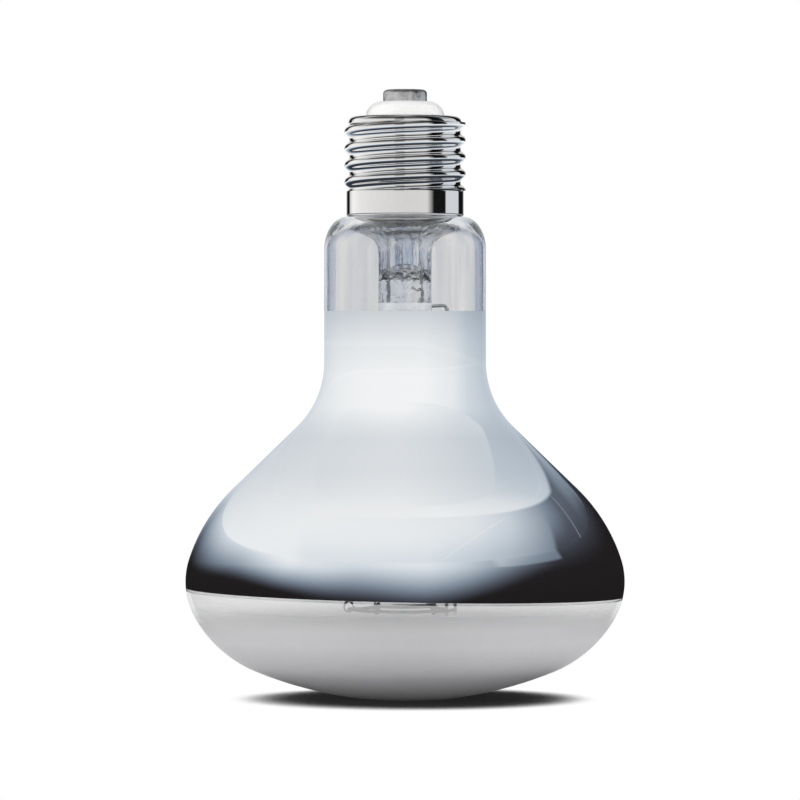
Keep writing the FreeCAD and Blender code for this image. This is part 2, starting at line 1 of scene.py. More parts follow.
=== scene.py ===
import bpy
import bmesh
import math
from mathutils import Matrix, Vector

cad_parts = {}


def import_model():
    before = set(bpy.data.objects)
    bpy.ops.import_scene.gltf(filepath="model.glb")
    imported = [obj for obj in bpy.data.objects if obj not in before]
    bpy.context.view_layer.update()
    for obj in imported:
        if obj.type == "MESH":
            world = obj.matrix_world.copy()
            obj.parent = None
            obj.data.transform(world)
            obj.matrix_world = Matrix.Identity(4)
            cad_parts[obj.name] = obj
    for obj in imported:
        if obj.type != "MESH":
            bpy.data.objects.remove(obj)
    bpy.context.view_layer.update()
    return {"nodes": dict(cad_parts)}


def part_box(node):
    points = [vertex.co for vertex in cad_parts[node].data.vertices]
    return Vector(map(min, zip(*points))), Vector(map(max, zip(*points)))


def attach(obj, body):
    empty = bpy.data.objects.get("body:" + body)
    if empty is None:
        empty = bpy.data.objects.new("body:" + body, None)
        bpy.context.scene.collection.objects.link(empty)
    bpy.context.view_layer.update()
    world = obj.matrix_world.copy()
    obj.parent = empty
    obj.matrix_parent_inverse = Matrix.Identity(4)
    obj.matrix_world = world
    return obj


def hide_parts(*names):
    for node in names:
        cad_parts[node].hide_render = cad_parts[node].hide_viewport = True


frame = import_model()

MM = 0.001
MM_PER_METRE = 1000.0
LATHE_STEPS = 256
ARC_STEP = 1.6
SHOULDER_STEPS = 24
THREAD_ROWS = 150
ON_AXIS = 1e-6
CUT_TOLERANCE = 1e-7
WHITE = (1, 1, 1)

# Glass outline in millimetres, the same tangent arcs as the CAD, angles measured from vertical
bell_radius = 47.5
glass_wall = 0.9
face_edge_radius, face_edge_turn = 15.75, 28.75
face_side_radius, face_side_turn = 26.6, 67.6
back_edge_radius, back_edge_turn = 15.8, 18.0
back_side_radius, cone_turn = 37.0, 46.0
neck_fillet_radius = 19.5
neck_radius = 17.5
neck_top = 97.5
collar_radius = 11.9

# What lies on and in the glass, heights in millimetres
film_top = 84.2
film_bottom = 23.4
film_tilt = math.radians(1.2)
clear_strip = 0.55
see_through_start, see_through_full = 13.0, 20.5
press_top = 92.0

# Screw cap in millimetres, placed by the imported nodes
skirt_radius = 12.7
skirt_height = 5.5
skirt_lip = 0.5
sheet = 0.3
crest_radius = 13.15
root_radius = 12.05
pitch = 3.629
first_crest = 0.1
web_rise = 0.2
seam_overlap = 0.05
rim_step = 0.2
cap_corner = 1.3
cap_hole_radius = 8.5
contact_radius = 4.75
contact_round = 0.9
insulator_lip = 0.2
solder_radius = 2.2
solder_depth = 0.6
solder_taper = 0.3
cap_gap = 0.1

skirt_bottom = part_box("cap_shell")[0][2] / MM
cap_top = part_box("cap_shell")[1][2] / MM
skirt_top = skirt_bottom + skirt_height
thread_top = cap_top - cap_corner
collar_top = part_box("bulb_envelope")[1][2] / MM
contact_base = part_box("cap_insulator")[1][2] / MM
contact_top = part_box("centre_contact")[1][2] / MM
shoulder_height = skirt_bottom - cap_gap - neck_top

# Finishes, depths of relief in metres, heights in millimetres
roughness_spread = 0.2
grain_depth = 0.0002
ripple_depth = 0.0004
streak_levels = (0.38, 0.5, 0.64)
crinkle_scale, crinkle_strength, crinkle_blend = 450.0, 3.5, 1.0
mottle_scale, mottle = 300.0, 0.03
glass_ior, frost_ior = 1.5, 1.45
see_through_share = 0.75
face_colours = (0.75, 0.75, 0.77), (0.78, 0.78, 0.80)
# painted light: the face's colour lightens to this near the mirror's edge
face_painted_light = (0.98, 0.98, 0.985)
# the film's own colour, and the darker colour of its painted shade
film_full, film_painted_shade = (0.97, 0.975, 0.98), (0.79, 0.81, 0.835)

# Studio tent in millimetres
tent_radius = 90.0
tent_foot = -1.0
step_radius = 52.0
step_height = 64.0
step_top = 67.0
lid_hole = 13.4
lid_sheet = 0.05

# Floor, lamps and camera in metres, lens and sensor in millimetres.
# A lamp is its name, where it stands, what it lights, its size and its watts.
floor_half = 3.0
# painted shadow on the floor: reach of its ambient occlusion, the level above which the floor stays white, and its
# lean to the right and the back per millimetre
contact_shade_reach = 0.0116
open_floor = 0.97
painted_shadow_lean_right, painted_shadow_lean_back = -0.0025, -0.0065
sky_light = 0.8
lamps = (
    ("key", (-0.5, -0.6, 0.9), (0, 0, 0.05), 0.6, 1.5),
    ("front", (0.0, -1.2, 0.2), (0, 0, 0.03), 0.5, 6.2),
    ("left", (-1.2, -0.1, 0.14), (0, 0, 0.03), 0.5, 5.6),
    ("right", (1.2, -0.1, 0.14), (0, 0, 0.03), 0.5, 5.6))
eye = Vector((-0.0011, -1.130, 0.0758))
aim = Vector((-0.0011, 0.0, 0.065))
lens = 235.0
sensor_width = 36.0
farthest_seen = 20.0


def arc(centre, radius, start, end):
    """Points (r, z) along an arc, angles in degrees from +r towards +z."""
    count = max(2, int(abs(end - start) / ARC_STEP) + 1)
    points = []
    for i in range(count + 1):
        angle = math.radians(start + (end - start) * i / count)
        points.append((centre[0] + radius * math.cos(angle), centre[1] + radius * math.sin(angle)))
    return points


def glass_profile(inset):
    """The glass outline from the lowest point to half way up the neck, moved inwards by inset."""
    edge_turn, side_turn = math.radians(face_edge_turn), math.radians(face_side_turn)
    back_turn, lean = math.radians(back_edge_turn), math.radians(cone_turn)
    crown = bell_radius - face_edge_radius * (1 - math.cos(edge_turn))
    crown = (crown - face_side_radius * (math.cos(edge_turn) - math.cos(side_turn))) / math.cos(side_turn)
    equator = face_edge_radius * math.sin(edge_turn)
    equator = equator + face_side_radius * (math.sin(side_turn) - math.sin(edge_turn))
    equator = equator + crown * (1 - math.sin(side_turn))
    edge = (bell_radius - face_edge_radius, equator)
    step = face_edge_radius - face_side_radius
    side = (edge[0] + step * math.cos(edge_turn), equator - step * math.sin(edge_turn))
    back = (bell_radius - back_edge_radius, equator)
    step = back_edge_radius - back_side_radius
    cone = (back[0] + step * math.cos(back_turn), equator + step * math.sin(back_turn))
    start = (cone[0] + back_side_radius * math.cos(lean), cone[1] + back_side_radius * math.sin(lean))
    fillet_x = neck_radius + neck_fillet_radius
    length = (start[0] - fillet_x + neck_fillet_radius * math.cos(lean)) / math.sin(lean)
    fillet_z = start[1] + length * math.cos(lean) + neck_fillet_radius * math.sin(lean)
    points = arc((0, crown), crown - inset, -90, -face_side_turn)
    points += arc(side, face_side_radius - inset, -face_side_turn, -face_edge_turn)[1:]
    points += arc(edge, face_edge_radius - inset, -face_edge_turn, 0)[1:]
    points += arc(back, back_edge_radius - inset, 0, back_edge_turn)[1:]
    points += arc(cone, back_side_radius - inset, back_edge_turn, cone_turn)[1:]
    points += arc((fillet_x, fillet_z), neck_fillet_radius + inset, 180 + cone_turn, 180)
    points.append((neck_radius - inset, (fillet_z + neck_top) / 2))
    return points


def shoulder(centre, across, up):
    """Quarter of an upright ellipse that closes the neck in."""
    return [(centre[0] + across * math.cos(turn), centre[1] + up * math.sin(turn))
            for turn in (math.pi / 2 * i / SHOULDER_STEPS for i in range(SHOULDER_STEPS + 1))]


def ring_of_points(bm, radius_at, z):
    """A ring of vertices at height z, with the radius that radius_at gives for each angle."""
    ring = []
    for i in range(LATHE_STEPS):
        angle = 2 * math.pi * i / LATHE_STEPS
        r = radius_at(angle)
        ring.append(bm.verts.new((r * MM * math.cos(angle), r * MM * math.sin(angle), z * MM)))
    return ring


def join_rings(bm, low, high):
    """Faces between two rings, or between a ring and a point on the axis."""
    for i in range(LATHE_STEPS):
        j = (i + 1) % LATHE_STEPS
        if len(low) == 1 and len(high) > 1:
            bm.faces.new((low[0], high[j], high[i]))
        elif len(high) == 1 and len(low) > 1:
            bm.faces.new((low[i], low[j], high[0]))
        elif len(low) > 1:
            bm.faces.new((low[i], low[j], high[j], high[i]))


def lathe_mesh(bm, profile):
    """Adds a surface of revolution about Z to bm. Profile points are (r, z) in millimetres."""
    rings = []
    for r, z in profile:
        if r < ON_AXIS:
            rings.append([bm.verts.new((0, 0, z * MM))])
        else:
            rings.append(ring_of_points(bm, lambda angle: r, z))
    for low, high in zip(rings, rings[1:]):
        join_rings(bm, low, high)


def place_in_scene(name, data):
    made = bpy.data.objects.new(name, data)
    bpy.context.scene.collection.objects.link(made)
    return made


def mesh_object(bm, name):
    mesh = bpy.data.meshes.new(name)
    bm.to_mesh(mesh)
    bm.free()
    return place_in_scene(name, mesh)


def finish_mesh(bm, name, sharp_degrees=35):
    """Turns bm into an object that is smooth except at edges sharper than sharp_degrees."""
    bmesh.ops.recalc_face_normals(bm, faces=bm.faces)
    for face in bm.faces:
        face.smooth = True
    limit = math.radians(sharp_degrees)
    for edge in bm.edges:
        if len(edge.link_faces) == 2 and edge.calc_face_angle() > limit:
            edge.smooth = False
    return mesh_object(bm, name)


def dress(piece, materials, node):
    """Gives a piece its materials and its body, and hides the CAD node that it stands for."""
    for material in materials:
        piece.data.materials.append(material)
    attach(piece, "root")
    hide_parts(node)


def feed(tree, socket, value):
    """Links value to the socket, or sets it where value is a plain number or colour."""
    if isinstance(value, bpy.types.NodeSocket):
        tree.links.new(value, socket)
    elif socket.type == "RGBA":
        socket.default_value = (*value, 1.0)
    else:
        socket.default_value = value


def add_node(tree, kind, inputs=(), **settings):
    """A new node with its settings, and its inputs given as (label or number, value) pairs."""
    node = tree.nodes.new(kind)
    for key, value in settings.items():
        setattr(node, key, value)
    for label, value in inputs:
        feed(tree, node.inputs[label], value)
    return node


def new_material(name):
    material = bpy.data.materials.new(name)
    material.use_nodes = True
    tree = material.node_tree
    return material, tree, tree.nodes["Principled BSDF"]


def show(tree, shader):
    """Makes shader the surface of the material."""
    tree.links.new(shader, tree.nodes["Material Output"].inputs["Surface"])


def math_node(tree, operation, *values):
    return add_node(tree, "ShaderNodeMath", enumerate(values), operation=operation).outputs[0]


def product(tree, *values):
    result = values[0]
    for value in values[1:]:
        result = math_node(tree, "MULTIPLY", result, value)
    return result


def total(tree, *values):
    result = values[0]
    for value in values[1:]:
        result = math_node(tree, "ADD", result, value)
    return result


def blend(tree, share, low, high):
    """Low where share is 0 and high where it is 1."""
    rest = math_node(tree, "SUBTRACT", 1.0, share)
    return total(tree, product(tree, low, rest), product(tree, high, share))


def eased(tree, value, first, last):
    """Smooth change of level between two (place, level) points along value."""
    (start, low), (end, high) = sorted((first, last))
    step = add_node(tree, "ShaderNodeMapRange", (
        ("Value", value), ("From Min", start), ("From Max", end), ("To Min", low), ("To Max", high)),
        interpolation_type="SMOOTHSTEP")
    return step.outputs["Result"]


def colour_ramp(tree, value, stops):
    """Colour ramp from (position, colour) pairs."""
    node = add_node(tree, "ShaderNodeValToRGB", (("Fac", value),))
    elements = node.color_ramp.elements
    while len(elements) < len(stops):
        elements.new(0.5)
    for element, (position, colour) in zip(elements, stops):
        element.position = position
        element.color = (*colour, 1)
    return node.outputs["Color"]


def mixed_colour(tree, share, low, high, blend_type="MIX"):
    """Two colours in one: low where share is 0, and high, or both multiplied, where it is 1."""
    node = add_node(tree, "ShaderNodeMix", data_type="RGBA", blend_type=blend_type)
    for socket, value in ((node.inputs["Factor"], share), (node.inputs[6], low), (node.inputs[7], high)):
        feed(tree, socket, value)
    return node.outputs[2]


def mixed_shader(tree, share, first, second):
    """The first shader where share is 0 and the second where it is 1."""
    return add_node(tree, "ShaderNodeMixShader", (("Fac", share), (1, first), (2, second))).outputs["Shader"]


def azimuth(tree, split):
    """Degrees round Z from the front, towards +X."""
    front = product(tree, split.outputs["Y"], -1.0)
    return product(tree, math_node(tree, "ARCTAN2", split.outputs["X"], front), 180 / math.pi)


def split_place(tree, coordinates):
    """X, Y and Z of the object or of the world, one socket each."""
    coords = add_node(tree, "ShaderNodeTexCoord")
    return add_node(tree, "ShaderNodeSeparateXYZ", (("Vector", coords.outputs[coordinates]),))


def node_group(name, inputs, outputs):
    """A shader node group with inputs (name, kind, value) and outputs (name, kind), and its two end nodes."""
    group = bpy.data.node_groups.new(name, "ShaderNodeTree")
    for label, kind, value in inputs:
        socket = group.interface.new_socket(name=label, in_out="INPUT", socket_type="NodeSocket" + kind)
        socket.default_value = value
    for label, kind in outputs:
        group.interface.new_socket(name=label, in_out="OUTPUT", socket_type="NodeSocket" + kind)
    return group, group.nodes.new("NodeGroupInput").outputs, group.nodes.new("NodeGroupOutput").inputs


def surface_grain_group():
    """Noise in object space, in metres, and a colour and a roughness that follow it."""
    group, given, made = node_group(
        "surface_grain",
        (("Scale", "Float", 400.0), ("Detail", "Float", 2.0), ("Stretch", "Vector", (1.0, 1.0, 1.0)),
         ("Dark Level", "Float", 0.3), ("Light Level", "Float", 0.7),
         ("Dark Colour", "Color", (0.5, 0.5, 0.5, 1.0)), ("Light Colour", "Color", (0.6, 0.6, 0.6, 1.0)),
         ("Smoothest", "Float", 0.3), ("Roughest", "Float", 0.4)),
        (("Grain", "Float"), ("Colour", "Color"), ("Roughness", "Float")))
    coords = add_node(group, "ShaderNodeTexCoord")
    mapping = add_node(group, "ShaderNodeMapping", (
        ("Vector", coords.outputs["Object"]), ("Scale", given["Stretch"])))
    texture = add_node(group, "ShaderNodeTexNoise", (
        ("Vector", mapping.outputs["Vector"]), ("Scale", given["Scale"]), ("Detail", given["Detail"])))
    level = texture.outputs["Fac"]
    share = add_node(group, "ShaderNodeMapRange", (
        ("Value", level), ("From Min", given["Dark Level"]), ("From Max", given["Light Level"])))
    rough = add_node(group, "ShaderNodeMapRange", (
        ("Value", level), ("To Min", given["Smoothest"]), ("To Max", given["Roughest"])))
    feed(group, made["Grain"], level)
    feed(group, made["Colour"], mixed_colour(group, share.outputs["Result"], given["Dark Colour"],
                                             given["Light Colour"]))
    feed(group, made["Roughness"], rough.outputs["Result"])
    return group


def place_in_frame_group():
    """Where a point is: millimetres along X, Y, up and from the axis, and degrees round it."""
    labels = ("X", "Y", "Height", "Reach", "Azimuth")
    group, given, made = node_group("place_in_frame", (), [(label, "Float") for label in labels])
    split = split_place(group, "Object")
    x, y, z = (product(group, split.outputs[axis], MM_PER_METRE) for axis in "XYZ")
    reach = math_node(group, "SQRT", total(group, product(group, x, x), product(group, y, y)))
    for label, value in zip(labels, (x, y, z, reach, azimuth(group, split))):
        feed(group, made[label], value)
    return group


def studio_tone_group():
    """Card colour from its brightness: the darker, the cooler."""
    group, given, made = node_group("studio_tone", (("Brightness", "Float", 0.5),), (("Colour", "Color"),))
    feed(group, made["Colour"], colour_ramp(group, given["Brightness"], (
        (0.0, (0.014, 0.012, 0.013)), (0.10, (0.085, 0.098, 0.128)), (0.27, (0.22, 0.27, 0.33)),
        (0.66, (0.60, 0.66, 0.72)), (0.80, (0.78, 0.81, 0.83)), (0.93, (0.92, 0.925, 0.925)), (1.0, WHITE))))
    return group


def grain(tree, **values):
    """The surface grain placed in a material with its own values."""
    inputs = [(label.replace("_", " "), value) for label, value in values.items()]
    return add_node(tree, "ShaderNodeGroup", node_tree=surface_grain, inputs=inputs).outputs


def place_in(tree):
    """The place in the frame as a material sees it."""
    return add_node(tree, "ShaderNodeGroup", node_tree=place_in_frame).outputs


def metal(name, colour, roughness, variation, scale, bump=0.0):
    """Metal with a change of tone and roughness over its surface, and relief where bump is given."""
    material, tree, shader = new_material(name)
    dark = tuple(c * (1 - variation) for c in colour)
    surface = grain(tree, Scale=scale, Dark_Colour=dark, Light_Colour=colour,
                    Smoothest=roughness * (1 - roughness_spread), Roughest=roughness * (1 + roughness_spread))
    feed(tree, shader.inputs["Metallic"], 1.0)
    feed(tree, shader.inputs["Base Color"], surface["Colour"])
    feed(tree, shader.inputs["Roughness"], surface["Roughness"])
    if bump:
        relief = add_node(tree, "ShaderNodeBump", (
            ("Strength", bump), ("Distance", grain_depth), ("Height", surface["Grain"])))
        feed(tree, shader.inputs["Normal"], relief.outputs["Normal"])
    return material


def glazed(name, colour, roughness):
    """Glass, ceramic or cement that lets no light through, with a faint mottle."""
    material, tree, shader = new_material(name)
    dark = tuple(c * (1 - mottle) for c in colour)
    surface = grain(tree, Scale=mottle_scale, Dark_Level=0.35, Light_Level=0.65, Dark_Colour=dark,
                    Light_Colour=colour)
    feed(tree, shader.inputs["Base Color"], surface["Colour"])
    feed(tree, shader.inputs["Roughness"], roughness)
    return material


def clear_glass(name, tones, ripple, scale, stretch=(1, 1, 1), outline_painted_shade=None, crinkled_below=None):
    """Clear glass with streaks in its tone, that lets lamps and the sky light what stands inside it."""
    material, tree, shader = new_material(name)
    streaks = grain(tree, Scale=scale, Detail=3.0, Stretch=stretch)["Grain"]
    tone = colour_ramp(tree, streaks, tuple(zip(streak_levels, tones)))
    if outline_painted_shade:
        # painted shade: a cool dark band in the glass's colour where its surface turns away, along its outline
        slope = add_node(tree, "ShaderNodeLayerWeight", (("Blend", 0.5),))
        band = colour_ramp(tree, slope.outputs["Facing"], (
            (0.58, WHITE), (0.68, outline_painted_shade), (0.76, outline_painted_shade), (0.85, WHITE)))
        tone = mixed_colour(tree, 1.0, tone, band, "MULTIPLY")
    height = streaks
    if crinkled_below:
        crinkle = product(tree, grain(tree, Scale=crinkle_scale, Detail=3.0)["Grain"], crinkle_strength)
        below = eased(tree, place_in(tree)["Height"], (crinkled_below - crinkle_blend, 1.0),
                      (crinkled_below + crinkle_blend, 0.0))
        height = blend(tree, below, product(tree, streaks, 0.5), crinkle)
    relief = add_node(tree, "ShaderNodeBump", (("Strength", ripple), ("Distance", ripple_depth), ("Height", height)))
    for label, value in (("Base Color", tone), ("Roughness", 0.0), ("IOR", glass_ior), ("Transmission Weight", 1.0),
                         ("Normal", relief.outputs["Normal"])):
        feed(tree, shader.inputs[label], value)
    clear = add_node(tree, "ShaderNodeBsdfTransparent", (("Color", (0.95, 0.96, 0.97)),))
    path = add_node(tree, "ShaderNodeLightPath")
    light = math_node(tree, "MAXIMUM", path.outputs["Is Shadow Ray"], path.outputs["Is Diffuse Ray"])
    show(tree, mixed_shader(tree, light, shader.outputs["BSDF"], clear.outputs["BSDF"]))
    return material


def mirror_glass():
    """The film seen through the glass, with painted shade: a little darker up the neck and round the cone, which
    dims its reflections there.
    """
    material, tree, shader = new_material("mirror_behind_glass")
    decimetres = math_node(tree, "DIVIDE", place_in(tree)["Height"], 100.0)
    # painted shade: the film's colour darkens round the cone and up the neck, to dim its reflections there
    tone = colour_ramp(tree, decimetres, (
        (0.35, film_full), (0.43, (0.88, 0.89, 0.905)), (0.50, film_painted_shade), (0.57, film_painted_shade), (0.635, film_full),
        (0.70, film_full), (0.78, (0.84, 0.86, 0.88)), (0.84, (0.66, 0.69, 0.73))))
    for label, value in (("Base Color", tone), ("Metallic", 1.0), ("Roughness", 0.06)):
        feed(tree, shader.inputs[label], value)
    return material


def frosted_glass():
    """Satin face: pale grey, a little see-through near the mirror's edge, and lighter there by painted light."""
    material, tree, shader = new_material("frosted_face")
    dark, light = face_colours
    surface = grain(tree, Scale=260.0, Detail=4.0, Dark_Colour=dark, Light_Colour=light)
    near = eased(tree, place_in(tree)["Height"], (see_through_start, 0.0), (see_through_full, 1.0))
    # painted light: the face's colour turns lighter near the mirror's edge
    tone = mixed_colour(tree, near, surface["Colour"], face_painted_light)
    for label, value in (("Base Color", tone), ("Roughness", 0.42), ("IOR", frost_ior)):
        feed(tree, shader.inputs[label], value)
    clear = add_node(tree, "ShaderNodeBsdfTransparent")
    share = product(tree, near, see_through_share)
    show(tree, mixed_shader(tree, share, shader.outputs["BSDF"], clear.outputs["BSDF"]))
    return material


def bulb_glass():
    """The blown envelope, cut into clear, mirrored, strip and frosted zones of one wall."""
    bore = collar_radius - glass_wall
    outer = glass_profile(0) + shoulder((skirt_radius, neck_top), neck_radius - skirt_radius, shoulder_height)
    outer += [(collar_radius, neck_top + shoulder_height), (collar_radius, collar_top)]
    inner_shoulder = shoulder((bore, neck_top), neck_radius - collar_radius, shoulder_height - glass_wall)
    inner = glass_profile(glass_wall) + inner_shoulder + [(bore, collar_top)]
    bm = bmesh.new()
    lathe_mesh(bm, outer + inner[::-1])
    slope = math.tan(film_tilt)
    tilted = Vector((slope, 0, 1)).normalized()
    strip_bottom = film_bottom - clear_strip
    for height, normal in ((film_top, (0, 0, 1)), (film_bottom, tilted), (strip_bottom, tilted)):
        geometry = list(bm.verts) + list(bm.edges) + list(bm.faces)
        bmesh.ops.bisect_plane(bm, geom=geometry, dist=CUT_TOLERANCE, plane_co=(0, 0, height * MM),
                               plane_no=normal)
    neck_zone, mirror_zone, strip_zone, face_zone = range(4)
    for face in bm.faces:
        centre = face.calc_center_median()
        edge_height = centre.z / MM + centre.x / MM * slope
        if centre.z > film_top * MM:
            face.material_index = neck_zone
        elif edge_height > film_bottom:
            face.material_index = mirror_zone
        elif edge_height > strip_bottom:
            face.material_index = strip_zone
        else:
            face.material_index = face_zone
    neck = clear_glass("neck_glass", ((0.70, 0.72, 0.76), (0.79, 0.79, 0.79), (0.86, 0.855, 0.85)), ripple=0.12,
                       scale=170.0, stretch=(2.0, 2.0, 0.10), outline_painted_shade=(0.72, 0.78, 0.88))
    strip = clear_glass("edge_strip_glass", ((0.92, 0.94, 0.96), (0.98, 0.98, 0.99), WHITE), ripple=0.0,
                        scale=260.0)
    dress(finish_mesh(bm, "blown_glass"), (neck, mirror_glass(), strip, frosted_glass()), "bulb_envelope")


def thread_height_at(phase):
    """Height of the round thread from 0 at the root to 1 at the crest, two equal tangent arcs."""
    depth = crest_radius - root_radius
    half = pitch / 4
    radius = (half ** 2 + (depth / 2) ** 2) / depth
    along = (phase % 1.0) * pitch
    along = min(along, pitch - along)
    if along <= half:
        return 1 - (radius - math.sqrt(radius ** 2 - along ** 2)) / depth
    along = 2 * half - along
    return (radius - math.sqrt(radius ** 2 - along ** 2)) / depth


def thread_radius(angle, z):
    """Radius of the right-hand thread at an angle and a height."""
    phase = (z - skirt_top - first_crest) / pitch - angle / (2 * math.pi)
    return root_radius + (crest_radius - root_radius) * thread_height_at(phase)


def screw_shell():
    """Skirt, rolled round thread and turned-in top as one bright metal piece."""
    bm = bmesh.new()
    bore = skirt_radius - sheet
    bend = skirt_radius - skirt_lip
    web = skirt_top + web_rise
    skirt = [(bore, skirt_bottom + skirt_lip), (bore, skirt_bottom)]
    skirt += arc((bend, skirt_bottom + skirt_lip), skirt_lip, -90, 0)
    skirt += arc((bend, web - skirt_lip), skirt_lip, 0, 90)
    skirt += [(root_radius - sheet, web)]
    lathe_mesh(bm, skirt)
    rim = root_radius + rim_step
    top = [(root_radius - sheet, thread_top - rim_step), (rim, thread_top - rim_step)]
    top += arc((rim - cap_corner, thread_top), cap_corner, 0, 90)
    top += [(cap_hole_radius, cap_top), (cap_hole_radius, cap_top - sheet)]
    lathe_mesh(bm, top)
    low, high = web - seam_overlap, thread_top - seam_overlap
    rings = []
    for row in range(THREAD_ROWS + 1):
        z = low + (high - low) * row / THREAD_ROWS
        rings.append(ring_of_points(bm, lambda angle: thread_radius(angle, z), z))
    for below, above in zip(rings, rings[1:]):
        join_rings(bm, below, above)
    nickel = metal("nickel_plate", (0.92, 0.925, 0.93), roughness=0.05, variation=0.02, scale=500.0)
    dress(finish_mesh(bm, "screw_shell", 50), (nickel,), "cap_shell")


def insulator():
    """White glass dome between the shell's top and the contact."""
    lip = contact_radius + insulator_lip
    dome = shoulder((lip, cap_top), cap_hole_radius - lip, contact_base - cap_top)
    bm = bmesh.new()
    lathe_mesh(bm, [(cap_hole_radius, cap_top - sheet)] + dome + [(0, contact_base)])
    white = glazed("white_glass", (0.80, 0.80, 0.795), roughness=0.22)
    dress(finish_mesh(bm, "white_insulator"), (white,), "cap_insulator")


def contact():
    """Eyelet with a rounded rim and the solder that fills its middle."""
    bm = bmesh.new()
    rim = arc((contact_radius - contact_round, contact_top - contact_round), contact_round, 0, 90)
    lathe_mesh(bm, [(0, contact_base), (contact_radius, contact_base)] + rim + [(solder_radius, contact_top)])
    tinned = metal("tinned_contact", (0.68, 0.685, 0.70), roughness=0.32, variation=0.45, scale=650.0, bump=0.8)
    dress(finish_mesh(bm, "end_contact"), (tinned,), "centre_contact")
    bm = bmesh.new()
    solder_bottom = contact_top - solder_depth
    lathe_mesh(bm, [(0, solder_bottom), (solder_radius - solder_taper, solder_bottom),
                    (solder_radius, contact_top), (0, contact_top)])
    solder = metal("solder", (0.66, 0.66, 0.67), roughness=0.35, variation=0.2, scale=900.0, bump=0.5)
    dress(finish_mesh(bm, "contact_solder_fill"), (solder,), "contact_solder")


def dress_cad_nodes():
    """Materials for the pieces that keep their CAD form."""
    wire = metal("drawn_nickel", (0.72, 0.73, 0.75), roughness=0.4, variation=0.15, scale=900.0)
    copper = metal("tinned_copper", (0.68, 0.67, 0.67), roughness=0.4, variation=0.2, scale=900.0)
    tungsten = metal("tungsten", (0.16, 0.16, 0.17), roughness=0.45, variation=0.2, scale=1500.0)
    stem = clear_glass("stem_glass", ((0.80, 0.86, 0.95), (0.96, 0.98, 1.0), WHITE), ripple=1.0, scale=800.0,
                       stretch=(1.0, 1.0, 0.12), crinkled_below=press_top)
    quartz = clear_glass("quartz", ((0.92, 0.93, 0.94), (0.95, 0.96, 0.97), (0.97, 0.97, 0.97)), ripple=0.05,
                         scale=300.0)
    film = metal("film_inside", (0.90, 0.91, 0.92), roughness=0.08, variation=0.02, scale=200.0)
    mercury = metal("mercury", (0.85, 0.85, 0.86), roughness=0.03, variation=0.02, scale=200.0)
    solder = metal("side_solder", (0.6, 0.6, 0.61), roughness=0.4, variation=0.2, scale=900.0, bump=0.5)
    looks = {
        "cap_cement": glazed("cement", (0.74, 0.72, 0.67), roughness=0.8),
        "heat_shield": glazed("white_ceramic", (0.86, 0.87, 0.88), roughness=0.55),
        "starting_resistor": glazed("resistor_body", (0.42, 0.32, 0.22), roughness=0.6),
        "reflector_coating": film, "mercury_drop": mercury, "side_solder": solder,
        "stem_glass": stem, "exhaust_tube": stem, "filament_bead": stem, "arc_tube": quartz,
        "outer_lead_centre": copper, "outer_lead_side": copper,
        "sealing_wire_left": copper, "sealing_wire_right": copper,
    }
    replaced = ("bulb_envelope", "cap_shell", "cap_insulator", "centre_contact", "contact_solder")
    for name, node in frame["nodes"].items():
        if name in replaced:
            continue
        hot = "electrode" in name or "hook" in name or name == "ballast_filament"
        material = looks.get(name, tungsten if hot else wire)
        for slot in node.material_slots:
            slot.material = material
        if not node.material_slots:
            node.data.materials.append(material)


def card(name, profile, brightness_of):
    """A studio surface of revolution that only reflections see. Its brightness comes from brightness_of."""
    bm = bmesh.new()
    lathe_mesh(bm, profile)
    piece = mesh_object(bm, name)
    material, tree, unused = new_material(name)
    tree.nodes.remove(unused)
    brightness = brightness_of(tree, place_in(tree))
    tone = add_node(tree, "ShaderNodeGroup", node_tree=studio_tone, inputs=(("Brightness", brightness),))
    glow = add_node(tree, "ShaderNodeEmission", (("Color", tone.outputs["Colour"]),))
    show(tree, glow.outputs["Emission"])
    piece.data.materials.append(material)
    for kind in ("camera", "diffuse", "transmission", "shadow", "volume_scatter"):
        setattr(piece, "visible_" + kind, False)


def round_place(tree, angle):
    """Azimuth as a ramp position, from 0 at -180 degrees to 1 at 180."""
    return math_node(tree, "DIVIDE", total(tree, angle, 180.0), 360.0)


def round_ramp(tree, angle, stops):
    """Brightness by azimuth, from (degrees, brightness) stops."""
    return colour_ramp(tree, round_place(tree, angle), [(stop / 360 + 0.5, (level,) * 3) for stop, level in stops])


def light_line(tree, value, centre, half_width, strength):
    """Thin bright line where value passes centre."""
    away = math_node(tree, "ABSOLUTE", total(tree, value, -centre))
    return eased(tree, away, (half_width * 0.4, strength), (half_width, 0.0))


def wall_brightness(tree, at):
    """Soft boxes over dark cards that stand low at the left and high at the right, and a grey panel."""
    angle, height = at["Azimuth"], at["Height"]
    left = product(tree, eased(tree, angle, (-85, 28), (-25, 8)), eased(tree, angle, (-160, 0), (-130, 1)),
                   eased(tree, angle, (-25, 1), (10, 0)))
    right = product(tree, eased(tree, angle, (4, 0), (74, 47)), eased(tree, angle, (140, 1), (175, 0)))
    lifted = math_node(tree, "SUBTRACT", height, total(tree, left, right))
    left_fade = eased(tree, lifted, (4, 0.0), (50, 1.0))
    right_fade = eased(tree, lifted, (-2, 0.0), (67, 1.0))
    fade = blend(tree, eased(tree, angle, (-50, 0.0), (-15, 1.0)), left_fade, right_fade)
    soft_boxes = round_ramp(tree, angle, (
        (-180, 0.50), (-150, 0.70), (-100, 0.92), (-52, 0.86), (-44, 0.78), (10, 0.78), (60, 0.52), (76, 0.30),
        (140, 0.20), (180, 0.50)))
    panel = product(tree, eased(tree, height, (55.5, 0.0), (57.5, 0.16)), eased(tree, angle, (36, 0.0), (42, 1.0)),
                    eased(tree, angle, (73, 1.0), (76, 0.0)))
    return total(tree, product(tree, soft_boxes, fade), panel)


